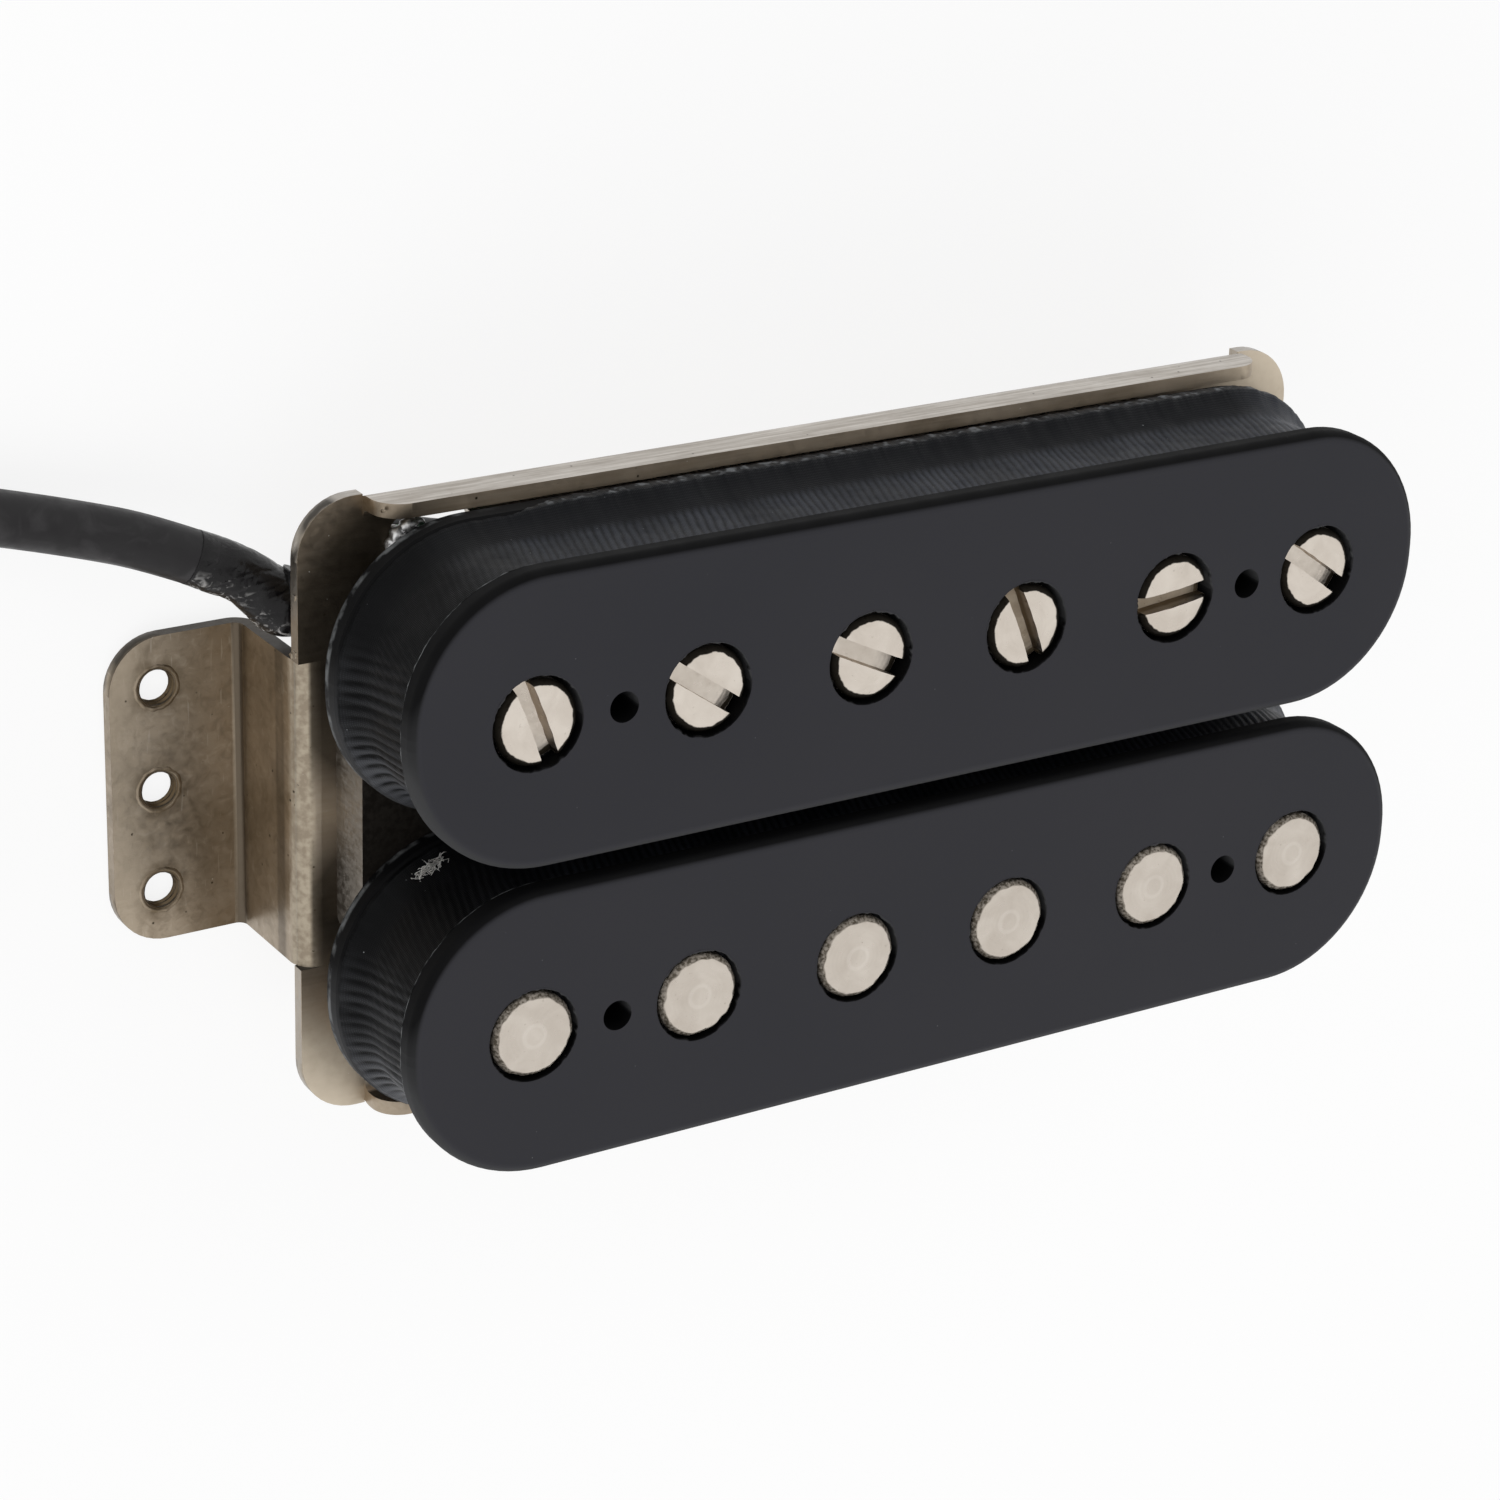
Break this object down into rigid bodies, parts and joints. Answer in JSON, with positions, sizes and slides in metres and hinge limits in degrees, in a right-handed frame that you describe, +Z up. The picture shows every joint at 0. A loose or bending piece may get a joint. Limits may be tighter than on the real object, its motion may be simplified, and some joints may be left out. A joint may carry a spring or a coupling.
{
  "type": "guitar pickup",
  "caption": "Two-row magnetic guitar pickup on a folded metal baseplate with two bent feet, slotted pole screws, plain pole slugs and an output cable.",
  "frame": {"origin": "midway between the two feet, on the surface that they stand on", "axes": "X along the rows of poles, away from the cable; Y across the rows, towards the pole screws; Z up towards the strings"},
  "size_m": [0.1303, 0.0422, 0.0206],
  "materials": {
    "nickel_silver": "satin rolled sheet with light tarnish",
    "bobbin_plastic": "moulded black plastic with a satin skin",
    "coil_tape": "black woven adhesive tape",
    "copper_wire": "enamelled copper wire",
    "magnet": "cast magnet alloy",
    "pole_steel": "nickel plated steel",
    "keeper_steel": "plain cold drawn steel",
    "spacer_wood": "plain maple",
    "cable_jacket": "soft black cable jacket",
    "shrink_sleeve": "glossy black shrunk sleeve",
    "black_insulation": "black wire insulation",
    "red_insulation": "red wire insulation",
    "white_insulation": "white wire insulation",
    "green_insulation": "green wire insulation",
    "tinned_copper": "tinned copper strands and solder",
    "tie_paper": "black tie band"
  },
  "bodies": {
    "pickup": {"baseplate": "nickel_silver", "screw_bobbin": "bobbin_plastic", "slug_bobbin": "bobbin_plastic", "screw_coil": "copper_wire", "slug_coil": "copper_wire", "screw_coil_tape": "coil_tape", "slug_coil_tape": "coil_tape", "bar_magnet": "magnet", "keeper_bar": "keeper_steel", "spacer_strip": "spacer_wood", "pole_slug_1": "pole_steel", "pole_slug_2": "pole_steel", "pole_slug_3": "pole_steel", "pole_slug_4": "pole_steel", "pole_slug_5": "pole_steel", "pole_slug_6": "pole_steel", "holding_screws": "keeper_steel", "splice_sleeves": "black_insulation", "cable_sleeve": "shrink_sleeve", "jacket_end": "cable_jacket", "red_conductor": "red_insulation", "white_conductor": "white_insulation", "black_conductor": "black_insulation", "green_conductor": "green_insulation", "drain_wire": "tinned_copper", "shield_solder": "tinned_copper", "screw_coil_start_lead": "black_insulation", "screw_coil_finish_lead": "black_insulation", "slug_coil_start_lead": "black_insulation", "slug_coil_finish_lead": "black_insulation", "output_cable": "cable_jacket", "cable_coil": "cable_jacket", "cable_tie": "tie_paper", "far_red_conductor": "red_insulation", "far_white_conductor": "white_insulation", "far_black_conductor": "black_insulation", "far_green_conductor": "green_insulation", "far_drain_wire": "tinned_copper"},
    "screw_1": {"pole_screw_1": "pole_steel"},
    "screw_2": {"pole_screw_2": "pole_steel"},
    "screw_3": {"pole_screw_3": "pole_steel"},
    "screw_4": {"pole_screw_4": "pole_steel"},
    "screw_5": {"pole_screw_5": "pole_steel"},
    "screw_6": {"pole_screw_6": "pole_steel"}
  },
  "joints": [
    {"name": "screw_1_height", "type": "slide", "parent": "pickup", "child": "screw_1", "axis": [0, 0, 1], "range_m": [-0.0004, 0.003]},
    {"name": "screw_2_height", "type": "slide", "parent": "pickup", "child": "screw_2", "axis": [0, 0, 1], "range_m": [-0.0004, 0.003]},
    {"name": "screw_3_height", "type": "slide", "parent": "pickup", "child": "screw_3", "axis": [0, 0, 1], "range_m": [-0.0004, 0.003]},
    {"name": "screw_4_height", "type": "slide", "parent": "pickup", "child": "screw_4", "axis": [0, 0, 1], "range_m": [-0.0004, 0.003]},
    {"name": "screw_5_height", "type": "slide", "parent": "pickup", "child": "screw_5", "axis": [0, 0, 1], "range_m": [-0.0004, 0.003]},
    {"name": "screw_6_height", "type": "slide", "parent": "pickup", "child": "screw_6", "axis": [0, 0, 1], "range_m": [-0.0004, 0.003]}
  ]
}
